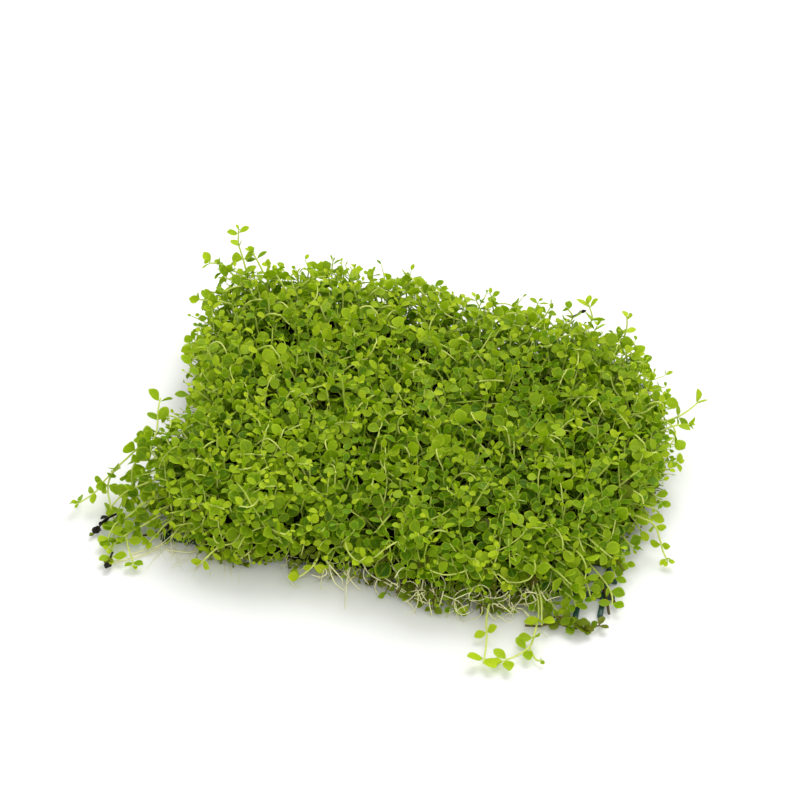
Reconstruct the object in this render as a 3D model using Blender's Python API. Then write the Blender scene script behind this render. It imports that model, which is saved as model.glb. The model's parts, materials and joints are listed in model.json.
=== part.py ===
"""A torn mat of small round-leaved carpet plants, rooted on a moulded plastic lattice.

Sizes are in metres and +Z is up. The lattice lies on Z = 0, the origin is the middle of
its underside, and the front of the mat faces -Y.
"""
import math
import random

import bmesh
import bpy
from mathutils import Vector
from mathutils.bvhtree import BVHTree

UP = Vector((0, 0, 1))
GAP = 0.0004               # air left between pieces that touch

# Moulded lattice
BAR_PITCH = 0.0085
BAR_WIDTH = 0.0019
BAR_HEIGHT = 0.0019
BARS_LEFT_TO_RIGHT = 20    # bars that run from front to back
BARS_FRONT_TO_BACK = 15    # bars that run from left to right
CUT_END_SHORT = 0.0010     # how far a cut bar sticks out past the last crossing
CUT_END_LONG = 0.0032
BARE_FRONT_ENDS = {18: 0.0135, 19: 0.0100}   # the two long ends at the front right corner

# Felt of roots and old stems
ROOT_TOP = 0.0090
ROOT_EDGE_INSET = 0.0085   # how far the felt stays inside the leaves' edge
ROOT_FOOT_INSET = 0.0025   # and how much farther in its foot and its top edge lie
ROOT_SHOULDER_INSET = 0.0012
ROOT_SIDES = 32

# Leafy tufts. EDGE is the outline of the leaves seen from above.
EDGE = [(-0.090, -0.058), (-0.070, -0.067), (-0.030, -0.072), (0.010, -0.076), (0.046, -0.077),
        (0.066, -0.068), (0.082, -0.047), (0.096, -0.022), (0.099, 0.010), (0.088, 0.040),
        (0.077, 0.060), (0.040, 0.069), (0.000, 0.075), (-0.040, 0.080), (-0.076, 0.077),
        (-0.094, 0.058), (-0.091, 0.020), (-0.088, -0.018)]
EDGE_POINTS = 90
ON_THE_EDGE = 0.0022       # a tuft's point this close to the outline is on the mat's outer side
TUFT_ROWS = ("front", "middle", "back")
TUFTS_IN_A_ROW = 4
TUFT_SPACING = (0.045, 0.046)
TUFT_ROW_SLANT = 0.055     # the rows turn back towards the right, like the mat's front edge
TUFT_STRAY = 0.004
TUFT_SIDES = 12
TUFT_TOP = 0.0335
TUFT_UNEVEN = 0.0020
# Each ring of a tuft: its height, its height where leaves hang in front of the felt, its size
# against the full outline, and how far it lies inside that outline on the mat's outer side.
TUFT_RINGS = [(ROOT_TOP + GAP, ROOT_TOP + GAP, 0.94, 0.0064), (0.0110, 0.0046, 0.97, 0.0022),
              (0.0200, 0.0170, 1.00, 0.0), (0.0285, 0.0280, 0.88, 0.0042)]
SHOULDER_SIZE = 0.52       # the ring next to the top, against the full outline
SHOULDER_DROP = 0.0015     # and how far below the top it lies

# Shoots that stick out of the mat
STEM_WIDTH = 0.0011
LEAF_THICKNESS = 0.0005
LEAF_ROUNDNESS = 0.86      # width against length
LEAF_TIP = 0.34            # width of the blunt tip against the widest place
NODE_HALF = 0.0006         # half the length of stem that a leaf pair grows from
FIRST_PAIR = 0.75          # the stem before the first leaf pair, against the stem between pairs
LEAF_LEAN = 0.35           # how far leaves lean towards the tip
FACE_LEAN = 0.5            # and how far their upper sides turn towards it
STEEP = 0.75               # a stem that rises more than this carries its pairs crosswise
FACES_OUT = 0.5            # a stem's side face that turns this much towards a leaf carries it
NEARLY_UPRIGHT = 0.2       # below this level length, a stem has no left and right of its own
FLOOR_CLEAR = 0.0004
STEM_START_CLEAR = 0.0005  # from a stem's cut-off start to the tuft that it grows out of
STEM_REACH_BACK = 0.014    # how far a stem is carried back to meet its tuft

GREEN = (0.13, 0.25, 0.012, 1.0)
YOUNG_GREEN = (0.33, 0.50, 0.05, 1.0)
DEAD_BROWN = (0.07, 0.05, 0.02, 1.0)
ROOT_CREAM = (0.42, 0.36, 0.18, 1.0)
PLASTIC_GREEN = (0.016, 0.055, 0.040, 1.0)

# Every shoot: the points its stem passes through, the number of leaf pairs, and the length
# of the oldest and the youngest leaves. The dead ones lie loose on the surface.
SHOOTS = {
    "runner_left_long": dict(
        route=[(-0.0935, -0.046, 0.0190), (-0.102, -0.043, 0.0160), (-0.110, -0.045, 0.0090),
               (-0.1175, -0.049, 0.0030)],
        pairs=4, leaf=(0.0060, 0.0034)),
    "runner_left_upper": dict(
        route=[(-0.0925, -0.020, 0.0200), (-0.0965, -0.014, 0.0215), (-0.0985, -0.004, 0.0240)],
        pairs=3, leaf=(0.0052, 0.0040)),
    "runner_left_hanging": dict(
        route=[(-0.0945, -0.060, 0.0110), (-0.0985, -0.066, 0.0080), (-0.0965, -0.074, 0.0040),
               (-0.0935, -0.081, 0.0018)],
        pairs=3, leaf=(0.0056, 0.0044)),
    "shoot_back_left_tall": dict(
        route=[(-0.0815, 0.0775, 0.0290), (-0.0845, 0.0788, 0.0355), (-0.0852, 0.0795, 0.0420)],
        pairs=3, leaf=(0.0056, 0.0044)),
    "shoot_back_right": dict(
        route=[(0.0560, 0.0655, 0.0290), (0.0575, 0.0685, 0.0320), (0.0558, 0.0700, 0.0360)],
        pairs=2, leaf=(0.0062, 0.0052)),
    "shoot_right_tall": dict(
        route=[(0.0718, 0.0555, 0.0290), (0.0726, 0.0565, 0.0330), (0.0717, 0.0573, 0.0385)],
        pairs=2, leaf=(0.0050, 0.0038)),
    "runner_right_upper": dict(
        route=[(0.0970, 0.0240, 0.0185), (0.1000, 0.0265, 0.0190), (0.1045, 0.0320, 0.0212)],
        pairs=3, leaf=(0.0054, 0.0038)),
    "runner_right_front": dict(
        route=[(0.0925, -0.0335, 0.0125), (0.0960, -0.0330, 0.0105), (0.0985, -0.0350, 0.0062),
               (0.1005, -0.0395, 0.0024)],
        pairs=3, leaf=(0.0048, 0.0040)),
    "runner_front_long": dict(
        route=[(0.0600, -0.0780, 0.0060), (0.0620, -0.0840, 0.0030), (0.0600, -0.0905, 0.0022),
               (0.0555, -0.0950, 0.0022), (0.0515, -0.1008, 0.0020)],
        pairs=5, leaf=(0.0060, 0.0036)),
    "runner_front_short": dict(
        route=[(0.0420, -0.0800, 0.0050), (0.0426, -0.0860, 0.0024), (0.0426, -0.0925, 0.0022),
               (0.0420, -0.1010, 0.0020)],
        pairs=3, leaf=(0.0050, 0.0042)),
    "shoot_front_young": dict(
        route=[(-0.0260, -0.0745, 0.0100), (-0.0275, -0.0775, 0.0085), (-0.0295, -0.0805, 0.0060)],
        pairs=2, leaf=(0.0040, 0.0036)),
    "runner_front_left": dict(
        route=[(-0.0590, -0.0732, 0.0100), (-0.0630, -0.0765, 0.0080), (-0.0670, -0.0800, 0.0040)],
        pairs=2, leaf=(0.0040, 0.0034)),
    "dead_shoot_front": dict(
        route=[(0.0580, -0.0792, 0.0012), (0.0670, -0.0790, 0.0016), (0.0750, -0.0815, 0.0014),
               (0.0840, -0.0785, 0.0018)],
        pairs=3, leaf=(0.0050, 0.0046), dead=True),
    "dead_leaf_left": dict(
        route=[(-0.1035, -0.0545, 0.0032), (-0.1060, -0.0580, 0.0020), (-0.1095, -0.0620, 0.0009)],
        pairs=1, leaf=(0.0036, 0.0036), dead=True),
}


def clear_scene():
    for old in list(bpy.data.objects):
        bpy.data.objects.remove(old, do_unlink=True)


def make_material(name, colour, roughness):
    material = bpy.data.materials.new(name)
    material.use_nodes = True
    shader = material.node_tree.nodes["Principled BSDF"]
    shader.inputs["Base Color"].default_value = colour
    shader.inputs["Roughness"].default_value = roughness
    shader.inputs["Metallic"].default_value = 0.0
    return material


def add_object(name, bm, material):
    """Turn a finished bmesh into a named object with one material."""
    bmesh.ops.recalc_face_normals(bm, faces=bm.faces)
    mesh = bpy.data.meshes.new(name)
    bm.to_mesh(mesh)
    bm.free()
    mesh.materials.append(material)
    obj = bpy.data.objects.new(name, mesh)
    bpy.context.scene.collection.objects.link(obj)
    return obj


# ---------------------------------------------------------------- outlines and routes

def spline_point(a, b, c, d, t):
    """A point between b and c on the smooth curve through a, b, c and d."""
    return 0.5 * ((2 * b) + (c - a) * t + (2 * a - 5 * b + 4 * c - d) * t * t
                  + (3 * b - a - 3 * c + d) * t * t * t)


def smooth_loop(points, count):
    """count points on a smooth closed curve through the given ones."""
    knots = [Vector(p) for p in points]
    total = len(knots)
    loop = []
    for i in range(count):
        whole, t = divmod(i * total / count, 1)
        k = int(whole)
        loop.append(spline_point(*(knots[(k + step) % total] for step in (-1, 0, 1, 2)), t))
    return loop


def smooth_route(points, steps=12):
    """A dense polyline on a smooth open curve through the given points."""
    knots = [Vector(p) for p in points]
    knots = [2 * knots[0] - knots[1]] + knots + [2 * knots[-1] - knots[-2]]
    line = [spline_point(*knots[k:k + 4], s / steps)
            for k in range(len(knots) - 3) for s in range(steps)]
    return line + [knots[-2]]


def along(line, distance):
    """The point at a distance from a polyline's start, and the direction there."""
    for a, b in zip(line, line[1:]):
        step = (b - a).length
        if distance <= step or b is line[-1]:
            return a + (b - a) * (distance / step), (b - a).normalized()
        distance -= step


def length_of(line):
    return sum((b - a).length for a, b in zip(line, line[1:]))


def resample_loop(loop, count):
    closed = loop + [loop[0]]
    total = length_of(closed)
    return [along(closed, total * (i + 0.5) / count)[0] for i in range(count)]


def centre_of(loop):
    """The middle of a closed outline's area."""
    area = 0.0
    middle = Vector((0.0, 0.0))
    for a, b in zip(loop, loop[1:] + loop[:1]):
        cross = a.x * b.y - b.x * a.y
        area += cross
        middle += (a + b) * cross
    return middle / (3 * area)


def keep_side(loop, point, normal):
    """The part of a closed outline that lies behind the line through point."""
    kept = []
    for a, b in zip(loop, loop[1:] + loop[:1]):
        side_a = (a - point).dot(normal)
        side_b = (b - point).dot(normal)
        if side_a <= 0:
            kept.append(a)
        if side_a * side_b < 0:
            kept.append(a + (b - a) * (side_a / (side_a - side_b)))
    return kept


def towards(point, middle, distance):
    """A point moved a distance towards the middle."""
    return point + (middle - point).normalized() * distance


# ---------------------------------------------------------------- bodies from rings

def bridge(bm, lower, upper):
    """A band of faces between two rings with the same number of points."""
    for i in range(len(lower)):
        j = (i + 1) % len(lower)
        bm.faces.new((lower[i], lower[j], upper[j], upper[i]))


def body_from_rings(rings, peak=None):
    """A closed body through rings of points, capped flat below and flat or peaked above."""
    bm = bmesh.new()
    made = [[bm.verts.new(p) for p in ring] for ring in rings]
    for lower, upper in zip(made, made[1:]):
        bridge(bm, lower, upper)
    bm.faces.new(made[0][::-1])
    if peak is None:
        bm.faces.new(made[-1])
    else:
        top = bm.verts.new(peak)
        last = made[-1]
        for i in range(len(last)):
            bm.faces.new((last[i], last[(i + 1) % len(last)], top))
    return bm


# ---------------------------------------------------------------- lattice

def bar_edges(bars):
    """The places of the cut end, both edges of each bar, and the other cut end."""
    first = -(bars - 1) / 2 * BAR_PITCH
    edges = [first - BAR_WIDTH / 2]
    for i in range(bars):
        middle = first + i * BAR_PITCH
        edges += [middle - BAR_WIDTH / 2, middle + BAR_WIDTH / 2]
    return edges + [edges[-1]]


def lattice(material):
    """A flat grid of square bars whose ends were cut with scissors, a little unevenly."""
    rng = random.Random(4)
    xs = bar_edges(BARS_LEFT_TO_RIGHT)
    ys = bar_edges(BARS_FRONT_TO_BACK)
    last_x = len(xs) - 1
    last_y = len(ys) - 1
    ends = {}
    for side in ("left", "right"):
        for bar in range(BARS_FRONT_TO_BACK):
            ends[side, bar] = rng.uniform(CUT_END_SHORT, CUT_END_LONG)
    for side in ("front", "back"):
        for bar in range(BARS_LEFT_TO_RIGHT):
            ends[side, bar] = rng.uniform(CUT_END_SHORT, CUT_END_LONG)
    for bar, reach in BARE_FRONT_ENDS.items():
        ends["front", bar] = reach

    bm = bmesh.new()
    corners = {}

    def corner(i, j):
        if (i, j) not in corners:
            x, y = xs[i], ys[j]
            across, deep = (i - 1) // 2, (j - 1) // 2
            if i == 0:
                x -= ends["left", deep]
            elif i == last_x:
                x += ends["right", deep]
            elif j == 0:
                y -= ends["front", across]
            elif j == last_y:
                y += ends["back", across]
            corners[i, j] = bm.verts.new((x, y, 0.0))
        return corners[i, j]

    for i in range(last_x):
        for j in range(last_y):
            if i % 2 or j % 2:
                bm.faces.new((corner(i, j), corner(i, j + 1), corner(i + 1, j + 1), corner(i + 1, j)))
    top = bmesh.ops.extrude_face_region(bm, geom=bm.faces[:], use_keep_orig=True)
    for item in top["geom"]:
        if isinstance(item, bmesh.types.BMVert):
            item.co.z = BAR_HEIGHT
    return add_object("support_grid", bm, material)


# ---------------------------------------------------------------- roots and leaves

def root_felt(material):
    """The slab of tangled roots and old stems that lies on the lattice."""
    middle = Vector((0.0, 0.0))
    edge = smooth_loop(EDGE, ROOT_SIDES)
    bottom = BAR_HEIGHT + GAP
    profile = [(bottom, ROOT_EDGE_INSET + ROOT_FOOT_INSET),
               ((bottom + ROOT_TOP) / 2, ROOT_EDGE_INSET),
               (ROOT_TOP, ROOT_EDGE_INSET + ROOT_SHOULDER_INSET)]
    rings = [[towards(p, middle, inset).to_3d() + UP * z for p in edge] for z, inset in profile]
    return add_object("root_mat", body_from_rings(rings), material)


def tuft_centres(rng):
    centres = []
    for row in range(len(TUFT_ROWS)):
        for column in range(TUFTS_IN_A_ROW):
            x = (column - (TUFTS_IN_A_ROW - 1) / 2) * TUFT_SPACING[0]
            x += rng.uniform(-TUFT_STRAY, TUFT_STRAY)
            y = (row - (len(TUFT_ROWS) - 1) / 2) * TUFT_SPACING[1] - TUFT_ROW_SLANT * x
            y += rng.uniform(-TUFT_STRAY, TUFT_STRAY)
            centres.append(Vector((x, y)))
    return centres


def is_outer(point, edge):
    return min((point - p).length for p in edge) < ON_THE_EDGE


def tuft(name, own, others, edge, height, material):
    """One tuft: its share of the mat, rounded off above and hanging down at the mat's edge."""
    share = list(edge)
    for other in others:
        across = (other - own).normalized()
        share = keep_side(share, (own + other) / 2 - across * GAP / 2, across)
    outline = resample_loop(share, TUFT_SIDES)
    middle = centre_of(share)
    outer = [is_outer(p, edge) for p in outline]
    hangs = [outer[i - 1] and outer[i] and outer[(i + 1) % TUFT_SIDES] for i in range(TUFT_SIDES)]
    rings = []
    for z, hanging_z, size, inset in TUFT_RINGS:
        ring = []
        for p, at_edge, hanging in zip(outline, outer, hangs):
            place = towards(p, middle, inset) if at_edge else middle + (p - middle) * size
            ring.append(place.to_3d() + UP * (hanging_z if hanging else z))
        rings.append(ring)
    shoulder = [(middle + (p - middle) * SHOULDER_SIZE).to_3d() + UP * (height - SHOULDER_DROP)
                for p in outline]
    peak = middle.to_3d() + UP * height
    return add_object(name, body_from_rings(rings + [shoulder], peak), material)


def tufts(material):
    rng = random.Random(11)
    edge = smooth_loop(EDGE, EDGE_POINTS)
    centres = tuft_centres(rng)
    made = []
    for i, own in enumerate(centres):
        row, column = divmod(i, TUFTS_IN_A_ROW)
        others = centres[:i] + centres[i + 1:]
        height = TUFT_TOP + rng.uniform(-TUFT_UNEVEN, TUFT_UNEVEN)
        name = f"tuft_{TUFT_ROWS[row]}_{column + 1}"
        made.append(tuft(name, own, others, edge, height, material))
    return made


# ---------------------------------------------------------------- shoots

def stem_ring(bm, place, along_stem, side):
    up = side.cross(along_stem).normalized()
    half = STEM_WIDTH / 2
    return [bm.verts.new(place + side * a * half + up * b * half)
            for a, b in ((1, -1), (1, 1), (-1, 1), (-1, -1))]


def grow_leaf(bm, face, direction, facing, size):
    """Draw one side face of the stem out into a flat, blunt leaf."""
    across = facing.cross(direction).normalized()
    base = face.calc_center_median()
    for reach, width in ((0.5, size * LEAF_ROUNDNESS), (1.0, size * LEAF_ROUNDNESS * LEAF_TIP)):
        middle = base + direction * size * reach
        targets = [middle + across * a * width / 2 + facing * b * LEAF_THICKNESS / 2
                   for a, b in ((-1, -1), (1, -1), (1, 1), (-1, 1))]
        grown = bmesh.ops.extrude_discrete_faces(bm, faces=[face])["faces"][0]
        corners = list(grown.verts)
        best = None
        for order in (targets, targets[::-1]):
            for turn in range(4):
                turned = order[turn:] + order[:turn]
                cost = sum((v.co - t).length_squared for v, t in zip(corners, turned))
                if best is None or cost < best[0]:
                    best = (cost, turned)
        for v, place in zip(corners, best[1]):
            v.co = place
        face = grown


def surface_of(objects):
    """One search tree over the faces of several objects."""
    points = []
    faces = []
    for obj in objects:
        first = len(points)
        points += [v.co.copy() for v in obj.data.vertices]
        faces += [[first + i for i in face.vertices] for face in obj.data.polygons]
    return BVHTree.FromPolygons(points, faces)


def carried_back(route, surface):
    """A route whose start is carried back until it nearly meets the nearest surface."""
    start = Vector(route[0])
    nearest, _, _, distance = surface.find_nearest(start)
    if not 3 * STEM_START_CLEAR < distance < STEM_REACH_BACK:
        return route
    return [nearest + (start - nearest) * (STEM_START_CLEAR / distance)] + route


def shoot(name, route, pairs, leaf, material):
    """A stem with opposite pairs of leaves, as one closed body."""
    line = smooth_route(route)
    total = length_of(line)
    bm = bmesh.new()
    places = [total * (k + FIRST_PAIR) / (pairs - 1 + FIRST_PAIR + 0.5) for k in range(pairs)]
    stations = [0.0]
    for d in places:
        stations += [d - NODE_HALF, d + NODE_HALF]
    stations.append(max(total, stations[-1] + NODE_HALF))
    rings = []
    for d in stations:
        place, heading = along(line, d)
        level = heading.cross(UP)
        side = level.normalized() if level.length > NEARLY_UPRIGHT else Vector((1, 0, 0))
        rings.append((stem_ring(bm, place, heading, side), heading, side))
    for lower, upper in zip(rings, rings[1:]):
        bridge(bm, lower[0], upper[0])
    bm.faces.new(rings[0][0][::-1])
    bm.faces.new(rings[-1][0])
    bmesh.ops.recalc_face_normals(bm, faces=bm.faces)

    for k in range(pairs):
        size = leaf[0] + (leaf[1] - leaf[0]) * k / max(pairs - 1, 1)
        lower, heading, side = rings[2 * k + 1]
        upper = rings[2 * k + 2][0]
        up = side.cross(heading).normalized()
        upright = abs(heading.z) > STEEP
        outwards = up if upright and k % 2 else side
        for sign in (1, -1):
            out = outwards * sign
            ring = set(lower) | set(upper)
            bm.faces.ensure_lookup_table()
            faces = [f for f in bm.faces if len(f.verts) == 4 and set(f.verts) <= ring
                     and f.normal.dot(out) > FACES_OUT]
            direction = (out + heading * LEAF_LEAN).normalized()
            tip = faces[0].calc_center_median() + direction * size
            shortfall = FLOOR_CLEAR + LEAF_THICKNESS - tip.z
            if shortfall > 0:
                direction = (direction + UP * (shortfall / size)).normalized()
            wanted = UP + heading * FACE_LEAN
            facing = (wanted - direction * wanted.dot(direction)).normalized()
            grow_leaf(bm, faces[0], direction, facing, size)
    return add_object(name, bm, material)


def shoots(mat_pieces, fresh, dead):
    surface = surface_of(mat_pieces)
    for name, plan in SHOOTS.items():
        if "dead" in plan:
            shoot(name, plan["route"], plan["pairs"], plan["leaf"], dead)
        else:
            route = carried_back(plan["route"], surface)
            shoot(name, route, plan["pairs"], plan["leaf"], fresh)


def main():
    clear_scene()
    lattice(make_material("grid_plastic", PLASTIC_GREEN, 0.40))
    felt = root_felt(make_material("roots", ROOT_CREAM, 0.80))
    mat_pieces = tufts(make_material("leaves", GREEN, 0.45)) + [felt]
    shoots(mat_pieces, make_material("shoots", YOUNG_GREEN, 0.45),
           make_material("dead_plant", DEAD_BROWN, 0.75))


main()
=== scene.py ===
"""The looks of a torn mat of round-leaved carpet plants on a moulded plastic lattice.

Every shoot is grown leaf pair by leaf pair from its tip down into the mat. One node tree sweeps
the stems and sets a leaf on every leaf place. Places and lengths in tables are in millimetres.
"""
import itertools
import json
import math
import random

import bmesh
import bpy
import numpy as np
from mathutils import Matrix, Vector, noise
from mathutils.bvhtree import BVHTree

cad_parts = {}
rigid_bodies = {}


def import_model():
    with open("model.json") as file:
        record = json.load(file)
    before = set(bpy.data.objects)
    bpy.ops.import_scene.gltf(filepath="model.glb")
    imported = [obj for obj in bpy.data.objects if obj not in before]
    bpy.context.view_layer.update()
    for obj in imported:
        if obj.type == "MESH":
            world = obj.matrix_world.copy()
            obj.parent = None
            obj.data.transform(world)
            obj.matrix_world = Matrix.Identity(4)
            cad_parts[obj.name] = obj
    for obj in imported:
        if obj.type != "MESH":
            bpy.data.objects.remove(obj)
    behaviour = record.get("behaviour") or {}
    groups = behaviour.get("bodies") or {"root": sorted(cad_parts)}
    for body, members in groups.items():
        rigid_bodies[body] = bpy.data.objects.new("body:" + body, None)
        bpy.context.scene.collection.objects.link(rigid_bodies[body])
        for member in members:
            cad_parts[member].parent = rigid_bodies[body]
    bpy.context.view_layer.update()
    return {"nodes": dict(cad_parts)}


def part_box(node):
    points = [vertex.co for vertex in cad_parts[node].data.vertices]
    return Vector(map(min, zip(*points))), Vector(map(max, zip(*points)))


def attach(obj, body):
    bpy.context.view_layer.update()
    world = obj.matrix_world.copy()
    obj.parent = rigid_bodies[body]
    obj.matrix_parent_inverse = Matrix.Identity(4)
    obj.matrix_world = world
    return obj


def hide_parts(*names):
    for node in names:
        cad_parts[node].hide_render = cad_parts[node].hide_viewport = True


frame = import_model()

MM = 0.001
UP = Vector((0.0, 0.0, 1.0))

# Camera, light and floor
CAMERA_TURN = math.radians(11)       # to the right of straight in front
CAMERA_RISE = math.radians(40)
CAMERA_DISTANCE = 1.127
CAMERA_TARGET = Vector((-0.012, 0.035, 0.0))
CAMERA_LENS = 130.9
SENSOR_WIDTH = 36.0
SKY_STRENGTH = 0.78
LAMPS = (("key", (0.20, 0.90, 1.35), 1.3, 16.0),      # name, place, width and power
         ("fill", (0.50, -1.40, 1.30), 1.6, 8.0))
FLOOR_HALF = 3.0

# The skin of the mat that the shoot tips lie on: size against the outline, and height
SKIN_PROFILE = ((0.930, 1.5), (0.955, 4.0), (0.972, 7.5), (0.990, 12.0), (1.000, 17.0),
                (0.990, 22.0), (0.955, 25.5), (0.890, 28.2), (0.770, 30.0), (0.500, 31.0),
                (0.250, 31.5), (0.010, 31.5))
SKIN_SIDES = 120
SKIN_INSET = 2.8 * MM                # leaves stand out this far past the skin
NARROWED = (math.radians(172), math.radians(28), 3.2 * MM)    # direction, spread and amount
OUTLINE_HEIGHT = 20 * MM             # the outline of the mat is measured here
BROAD_WAVES = 38                     # the skin's unevenness, in waves in a metre
SMALL_WAVES = 95
SIDE_UNEVEN = 0.028
TOP_UNEVEN = 2.4 * MM
TOP_FROM = 24                        # the top of the skin begins here, in millimetres

# Shoot tips on the skin
TIP_TRIES = 26000
TIP_SPACING_TOP = 4.9 * MM
TIP_SPACING_LOW = 4.2 * MM
LOW_SIDE = 12.5 * MM                 # below this height the side of the mat is old and sparse
HOLLOW_SIZE = 6.5 * MM               # the dark hollows between the clumps of shoots
HOLLOW_LEVEL = 0.30                  # the higher, the fewer hollows
HOLLOW_LOWEST = 27.0 * MM
ROOTY = (36 * MM, 26 * MM, 8.0 * MM)    # middle, half width and height of the rooty front
ROOTY_BARE = 0.3                     # the share of tips that is missing there
PAINTED_BACKLIGHT_FROM = 35.0 * MM                 # towards the back and left from here leaves are painted paler: painted backlight, standing in for light from behind shining through them

# Leaf pairs of a shoot from its tip down: the stem below the pair and the leaf's length, how far
# the leaf is raised in degrees, and its age from 0 to 1
TIP_PAIRS = ((1.4, 2.5, 55, 0.00), (2.9, 4.0, 34, 0.20), (4.6, 5.0, 16, 0.50),
             (6.2, 5.6, 6, 0.78), (7.0, 5.9, 2, 0.95), (7.4, 5.7, 0, 1.00))
LONGEST_LOW = 9.0 * MM               # where shoots end, low on the side and higher up
LONGEST = 19.0 * MM
LEAF_GAP = 1.9 * MM                  # two leaves' middles are never closer than this
LEAF_CLEARANCE = 0.9 * MM            # leaves grow at least this high above the floor
LOWEST_STEM = 1.2 * MM
PRESSED = 0.4 * MM                   # leaves on the floor are pressed into this layer
STEM_GIRTH = 0.34 * MM
STUB_GIRTH = 0.5 * MM
CREEPERS = 240
CREEPER_STEP = 1.3 * MM
CREEPER_DEPTH = 6.5                  # they start this far inside the skin, in millimetres
DYING_SHOOTS = 44

# The felt and its roots
FELT_TOP = 9.0 * MM
FELT_INSET = 6.0 * MM
FELT_LUMPS = (160, 1.6 * MM)         # lumps in a metre, and their height
# The felt's size against its outline, its height against its own, and whether it is lumpy there
FELT_PROFILE = ((0.02, 0.0, 0), (0.9, 0.0, 0), (1.0, 0.35, 1), (1.0, 0.7, 1), (0.95, 1.0, 1),
                (0.7, 1.0, 1), (0.4, 1.0, 1), (0.02, 1.0, 1))
FINE_ROOTS = 330
CURLY_ROOTS = 50
FAN_ROOTS = 46
ROOT_STEP = 1.0 * MM
FRONT_SIDES = (int(SKIN_SIDES * 0.68), int(SKIN_SIDES * 0.89))
CURLY_SIDES = (int(SKIN_SIDES * 0.77), int(SKIN_SIDES * 0.87))


# ---------------------------------------------------------------- node trees

class Wire:
    """An output socket that can be used in arithmetic."""

    def __init__(self, graph, socket):
        self.graph = graph
        self.socket = socket

    def maths(self, operation, *values):
        """What a Math node makes of numbers and other wires."""
        return self.graph.node("ShaderNodeMath", {"operation": operation}, dict(enumerate(values)))

    def __add__(self, other):
        return self.maths("ADD", self, other)

    def __sub__(self, other):
        return self.maths("SUBTRACT", self, other)

    def __rsub__(self, other):
        return self.maths("SUBTRACT", other, self)

    def __mul__(self, other):
        return self.maths("MULTIPLY", self, other)

    def __abs__(self):
        return self.maths("ABSOLUTE", self)

    __radd__ = __add__
    __rmul__ = __mul__


class Graph:
    """A shader or geometry node tree that is being wired up."""

    def __init__(self, tree):
        self.tree = tree

    def node(self, kind, settings=None, inputs=None, out=0):
        """A new node of this kind, as the wire from one of its outputs."""
        made = self.tree.nodes.new(kind)
        for key, value in (settings or {}).items():
            if key == "stops":
                self.set_stops(made.color_ramp, value)
            else:
                setattr(made, key, value)
        for key, value in (inputs or {}).items():
            if isinstance(value, Wire):
                self.tree.links.new(value.socket, made.inputs[key])
            else:
                made.inputs[key].default_value = value
        return Wire(self, made.outputs[out])

    @staticmethod
    def set_stops(ramp, stops):
        """Gives a colour ramp its places and colours."""
        while len(ramp.elements) < len(stops):
            ramp.elements.new(1.0)
        for element, (place, colour) in zip(ramp.elements, stops):
            element.position = place
            element.color = colour

    def attribute(self, name, out="Fac"):
        """What grew with the piece under this name."""
        return self.node("ShaderNodeAttribute", {"attribute_name": name}, out=out)

    def blend(self, amount, first, second):
        """From the first colour to the second."""
        return self.node("ShaderNodeMix", {"data_type": "RGBA"},
                         {0: amount, 6: first, 7: second}, out=2)

    def step(self, value, low, high):
        """0 below low, 1 above high, and smooth between."""
        return self.node("ShaderNodeMapRange", {"interpolation_type": "SMOOTHSTEP"},
                         {"Value": value, "From Min": low, "From Max": high})

    def mottle(self, scale, detail=2.0):
        """Soft patches through the piece, this many in a metre."""
        place = self.node("ShaderNodeTexCoord", out="Object")
        return self.node("ShaderNodeTexNoise", None,
                         {"Vector": place, "Scale": scale, "Detail": detail}, out="Fac")


def paint(code):
    """A colour as the shaders take it, from its six hexadecimal digits on a screen."""
    channels = [int(code[i:i + 2], 16) / 255 for i in (0, 2, 4)]
    return tuple(c / 12.92 if c <= 0.04045 else ((c + 0.055) / 1.055) ** 2.4
                 for c in channels) + (1.0,)


def new_finish(name):
    """An empty material and the graph to wire it with."""
    material = bpy.data.materials.new(name)
    material.use_nodes = True
    material.node_tree.nodes.clear()
    return material, Graph(material.node_tree)


def close_finish(graph, shader):
    """Ends a material in its finished shader."""
    output = graph.tree.nodes.new("ShaderNodeOutputMaterial")
    graph.tree.links.new(shader.socket, output.inputs["Surface"])


WITHERING = ((0.0, "7f9e1c"), (0.35, "76801e"), (0.62, "5c4c20"), (1.0, "17140e"))


def withered(graph, amount):
    """From olive through brown to black."""
    stops = [(place, paint(code)) for place, code in WITHERING]
    return graph.node("ShaderNodeValToRGB", {"stops": stops}, {"Fac": amount})


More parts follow.
